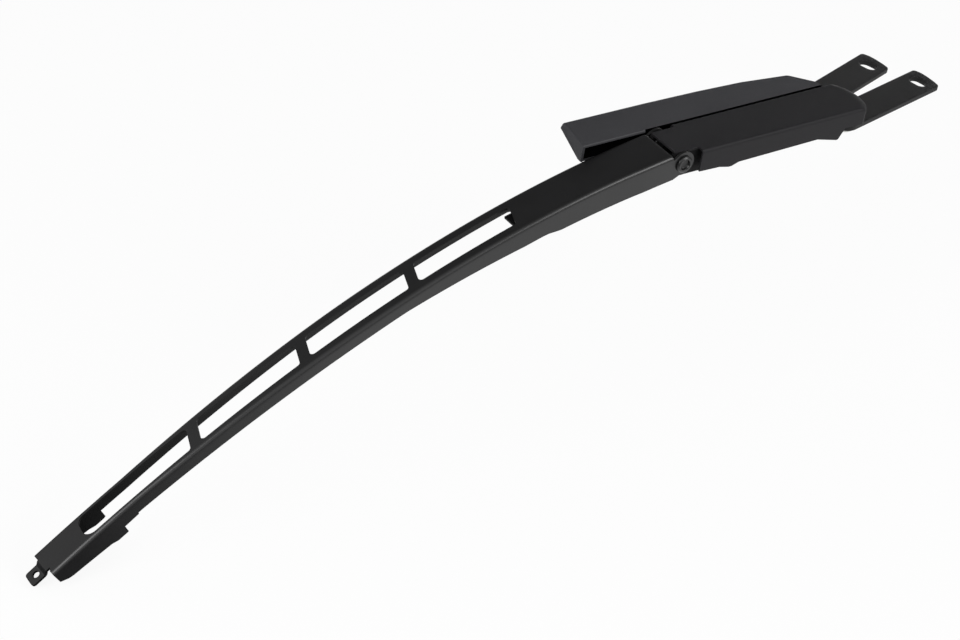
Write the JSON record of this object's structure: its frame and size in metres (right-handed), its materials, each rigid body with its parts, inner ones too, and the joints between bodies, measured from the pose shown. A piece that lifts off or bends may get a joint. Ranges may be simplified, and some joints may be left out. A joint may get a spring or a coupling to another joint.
{
  "type": "linkage wiper arm",
  "caption": "Arched wiper arm with slanted windows, hinged to a covered head that swings on two flat levers with slotted spindle holes.",
  "frame": {"origin": "centre of the front lever's spindle hole, on the lever's lower face, where the spindle's shoulder seats", "axes": "+Z points away from the glass, square to the levers; -X points along the head and the arm towards the blade; +Y points from the front lever to the rear lever"},
  "size_m": [0.6195, 0.0664, 0.185],
  "materials": {
    "black_steel": "satin black paint",
    "cover_front": "satin moulded",
    "cover_back": "satin moulded",
    "zinc_steel": "zinc plated",
    "bush_brass": "plain",
    "washer_plastic": "natural nylon"
  },
  "bodies": {
    "front_lever_body": {"front_lever": "black_steel", "front_pivot_bush": "bush_brass"},
    "head": {"head_frame": "black_steel", "front_cover": "cover_front", "back_cover": "cover_back", "front_pivot_pin": "zinc_steel", "rear_pivot_pin": "zinc_steel", "front_upper_washer": "washer_plastic", "rear_upper_washer": "washer_plastic", "front_lower_washer": "washer_plastic", "rear_lower_washer": "washer_plastic", "near_hinge_rivet": "black_steel", "far_hinge_rivet": "black_steel", "spring_pin": "zinc_steel"},
    "rear_lever_body": {"rear_lever": "black_steel", "rear_pivot_bush": "bush_brass"},
    "arm": {"arm_channel": "black_steel", "near_hinge_bush": "bush_brass", "far_hinge_bush": "bush_brass", "spring_anchor": "black_steel"},
    "link": {"spring_link": "zinc_steel", "tension_spring": "zinc_steel"}
  },
  "joints": [
    {"name": "head_swing", "type": "hinge", "parent": "front_lever_body", "child": "head", "pos_m": [-0.07546, -0.01481, 0], "axis": [0, 0, 1], "range_deg": [-3.5, 75]},
    {"name": "rear_swing", "type": "hinge", "parent": "head", "child": "rear_lever_body", "pos_m": [-0.09106, 0.00579, 0], "axis": [0, 0, -1], "range_deg": [-75, 3]},
    {"name": "arm_lift", "type": "hinge", "parent": "head", "child": "arm", "pos_m": [-0.20751, -0.00971, 0.0076], "axis": [0, 1, 0], "range_deg": [0, 65], "stiffness_Nm_per_rad": 0.8, "springref_deg": -143.24},
    {"name": "link_swing", "type": "hinge", "parent": "head", "child": "link", "pos_m": [-0.20751, -0.00971, 0.0012], "axis": [0, 1, 0], "range_deg": [0, 64], "deforming": ["tension_spring"]}
  ],
  "couplings": [
    {"joint": "link_swing", "follows": "arm_lift", "ratio": 0.9768}
  ]
}
